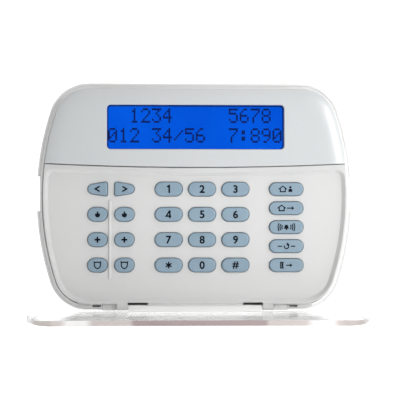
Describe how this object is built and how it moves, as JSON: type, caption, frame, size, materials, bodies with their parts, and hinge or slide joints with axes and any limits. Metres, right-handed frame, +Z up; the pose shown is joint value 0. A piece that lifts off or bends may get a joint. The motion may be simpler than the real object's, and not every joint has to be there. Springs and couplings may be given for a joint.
{
  "type": "alarm keypad",
  "caption": "Wall-mounted alarm keypad with a wide display, rubber keys in a recessed field and a clear flip-down door.",
  "frame": {"origin": "centre of the back face of the wall plate", "axes": "+X to the viewer's right, +Y into the wall, +Z up"},
  "size_m": [0.168, 0.0908, 0.1235],
  "materials": {
    "case_plastic": "light grey ABS, semi-gloss moulded",
    "cover_plastic": "cool light grey ABS, smooth semi-gloss",
    "clear_plastic": "clear polycarbonate, polished",
    "display_blue": "blue backlit display cell",
    "diffuser_plastic": "translucent acrylic",
    "elastomer": "soft silicone strip",
    "board_green": "green solder mask",
    "screw_steel": "zinc plated",
    "tinned_steel": "tinned sheet",
    "spring_steel": "bright wire",
    "pin_brass": "gold-flashed",
    "can_aluminium": "plain can",
    "mat_silicone": "translucent silicone sheet",
    "key_silicone": "translucent blue-grey silicone, satin",
    "contact_carbon": "printed carbon",
    "lamp_plastic": "moulded lamp body",
    "black_plastic": "moulded black",
    "terminal_plastic": "moulded green"
  },
  "bodies": {
    "case": {"wall_plate": "case_plastic", "front_housing": "case_plastic", "top_cover": "cover_plastic", "display_lens": "clear_plastic", "lcd_bezel": "tinned_steel", "lcd_glass": "display_blue", "lcd_backlight": "diffuser_plastic", "lcd_connectors": "elastomer", "main_board": "board_green", "board_screws": "screw_steel", "cover_screws": "screw_steel", "key_mat": "mat_silicone", "contact_pads": "contact_carbon", "key_leds": "lamp_plastic", "status_leds": "lamp_plastic", "status_light_guide": "diffuser_plastic", "controller_chip": "black_plastic", "voltage_regulator": "black_plastic", "capacitors": "can_aluminium", "terminal_block": "terminal_plastic", "terminal_screws": "screw_steel", "link_header": "black_plastic", "link_pins": "pin_brass", "buzzer": "black_plastic", "tamper_switch": "black_plastic", "tamper_spring": "spring_steel"},
    "door": {"door": "clear_plastic"},
    "tamper_plunger": {"tamper_plunger": "terminal_plastic"},
    "key_left": {"key_left": "key_silicone"},
    "key_right": {"key_right": "key_silicone"},
    "key_fire_a": {"key_fire_a": "key_silicone"},
    "key_fire_b": {"key_fire_b": "key_silicone"},
    "key_medical_a": {"key_medical_a": "key_silicone"},
    "key_medical_b": {"key_medical_b": "key_silicone"},
    "key_panic_a": {"key_panic_a": "key_silicone"},
    "key_panic_b": {"key_panic_b": "key_silicone"},
    "key_1": {"key_1": "key_silicone"},
    "key_2": {"key_2": "key_silicone"},
    "key_3": {"key_3": "key_silicone"},
    "key_4": {"key_4": "key_silicone"},
    "key_5": {"key_5": "key_silicone"},
    "key_6": {"key_6": "key_silicone"},
    "key_7": {"key_7": "key_silicone"},
    "key_8": {"key_8": "key_silicone"},
    "key_9": {"key_9": "key_silicone"},
    "key_star": {"key_star": "key_silicone"},
    "key_0": {"key_0": "key_silicone"},
    "key_hash": {"key_hash": "key_silicone"},
    "key_stay": {"key_stay": "key_silicone"},
    "key_away": {"key_away": "key_silicone"},
    "key_chime": {"key_chime": "key_silicone"},
    "key_reset": {"key_reset": "key_silicone"},
    "key_exit": {"key_exit": "key_silicone"}
  },
  "joints": [
    {"name": "door_hinge", "type": "hinge", "parent": "case", "child": "door", "pos_m": [0, -0.0153, -0.0583], "axis": [1, 0, 0], "range_deg": [-90, 0]},
    {"name": "tamper_press", "type": "slide", "parent": "case", "child": "tamper_plunger", "axis": [0, -1, 0], "range_m": [0, 0.0015], "stiffness_N_per_m": 200, "springref_m": -0.001, "deforming": ["tamper_spring"]},
    {"name": "key_left_press", "type": "slide", "parent": "case", "child": "key_left", "axis": [0, 1, 0], "range_m": [0, 0.0011], "stiffness_N_per_m": 600, "springref_m": -0.001},
    {"name": "key_right_press", "type": "slide", "parent": "case", "child": "key_right", "axis": [0, 1, 0], "range_m": [0, 0.0011], "stiffness_N_per_m": 600, "springref_m": -0.001},
    {"name": "key_fire_a_press", "type": "slide", "parent": "case", "child": "key_fire_a", "axis": [0, 1, 0], "range_m": [0, 0.0011], "stiffness_N_per_m": 600, "springref_m": -0.001},
    {"name": "key_fire_b_press", "type": "slide", "parent": "case", "child": "key_fire_b", "axis": [0, 1, 0], "range_m": [0, 0.0011], "stiffness_N_per_m": 600, "springref_m": -0.001},
    {"name": "key_medical_a_press", "type": "slide", "parent": "case", "child": "key_medical_a", "axis": [0, 1, 0], "range_m": [0, 0.0011], "stiffness_N_per_m": 600, "springref_m": -0.001},
    {"name": "key_medical_b_press", "type": "slide", "parent": "case", "child": "key_medical_b", "axis": [0, 1, 0], "range_m": [0, 0.0011], "stiffness_N_per_m": 600, "springref_m": -0.001},
    {"name": "key_panic_a_press", "type": "slide", "parent": "case", "child": "key_panic_a", "axis": [0, 1, 0], "range_m": [0, 0.0011], "stiffness_N_per_m": 600, "springref_m": -0.001},
    {"name": "key_panic_b_press", "type": "slide", "parent": "case", "child": "key_panic_b", "axis": [0, 1, 0], "range_m": [0, 0.0011], "stiffness_N_per_m": 600, "springref_m": -0.001},
    {"name": "key_1_press", "type": "slide", "parent": "case", "child": "key_1", "axis": [0, 1, 0], "range_m": [0, 0.0011], "stiffness_N_per_m": 600, "springref_m": -0.001},
    {"name": "key_2_press", "type": "slide", "parent": "case", "child": "key_2", "axis": [0, 1, 0], "range_m": [0, 0.0011], "stiffness_N_per_m": 600, "springref_m": -0.001},
    {"name": "key_3_press", "type": "slide", "parent": "case", "child": "key_3", "axis": [0, 1, 0], "range_m": [0, 0.0011], "stiffness_N_per_m": 600, "springref_m": -0.001},
    {"name": "key_4_press", "type": "slide", "parent": "case", "child": "key_4", "axis": [0, 1, 0], "range_m": [0, 0.0011], "stiffness_N_per_m": 600, "springref_m": -0.001},
    {"name": "key_5_press", "type": "slide", "parent": "case", "child": "key_5", "axis": [0, 1, 0], "range_m": [0, 0.0011], "stiffness_N_per_m": 600, "springref_m": -0.001},
    {"name": "key_6_press", "type": "slide", "parent": "case", "child": "key_6", "axis": [0, 1, 0], "range_m": [0, 0.0011], "stiffness_N_per_m": 600, "springref_m": -0.001},
    {"name": "key_7_press", "type": "slide", "parent": "case", "child": "key_7", "axis": [0, 1, 0], "range_m": [0, 0.0011], "stiffness_N_per_m": 600, "springref_m": -0.001},
    {"name": "key_8_press", "type": "slide", "parent": "case", "child": "key_8", "axis": [0, 1, 0], "range_m": [0, 0.0011], "stiffness_N_per_m": 600, "springref_m": -0.001},
    {"name": "key_9_press", "type": "slide", "parent": "case", "child": "key_9", "axis": [0, 1, 0], "range_m": [0, 0.0011], "stiffness_N_per_m": 600, "springref_m": -0.001},
    {"name": "key_star_press", "type": "slide", "parent": "case", "child": "key_star", "axis": [0, 1, 0], "range_m": [0, 0.0011], "stiffness_N_per_m": 600, "springref_m": -0.001},
    {"name": "key_0_press", "type": "slide", "parent": "case", "child": "key_0", "axis": [0, 1, 0], "range_m": [0, 0.0011], "stiffness_N_per_m": 600, "springref_m": -0.001},
    {"name": "key_hash_press", "type": "slide", "parent": "case", "child": "key_hash", "axis": [0, 1, 0], "range_m": [0, 0.0011], "stiffness_N_per_m": 600, "springref_m": -0.001},
    {"name": "key_stay_press", "type": "slide", "parent": "case", "child": "key_stay", "axis": [0, 1, 0], "range_m": [0, 0.0011], "stiffness_N_per_m": 600, "springref_m": -0.001},
    {"name": "key_away_press", "type": "slide", "parent": "case", "child": "key_away", "axis": [0, 1, 0], "range_m": [0, 0.0011], "stiffness_N_per_m": 600, "springref_m": -0.001},
    {"name": "key_chime_press", "type": "slide", "parent": "case", "child": "key_chime", "axis": [0, 1, 0], "range_m": [0, 0.0011], "stiffness_N_per_m": 600, "springref_m": -0.001},
    {"name": "key_reset_press", "type": "slide", "parent": "case", "child": "key_reset", "axis": [0, 1, 0], "range_m": [0, 0.0011], "stiffness_N_per_m": 600, "springref_m": -0.001},
    {"name": "key_exit_press", "type": "slide", "parent": "case", "child": "key_exit", "axis": [0, 1, 0], "range_m": [0, 0.0011], "stiffness_N_per_m": 600, "springref_m": -0.001}
  ]
}
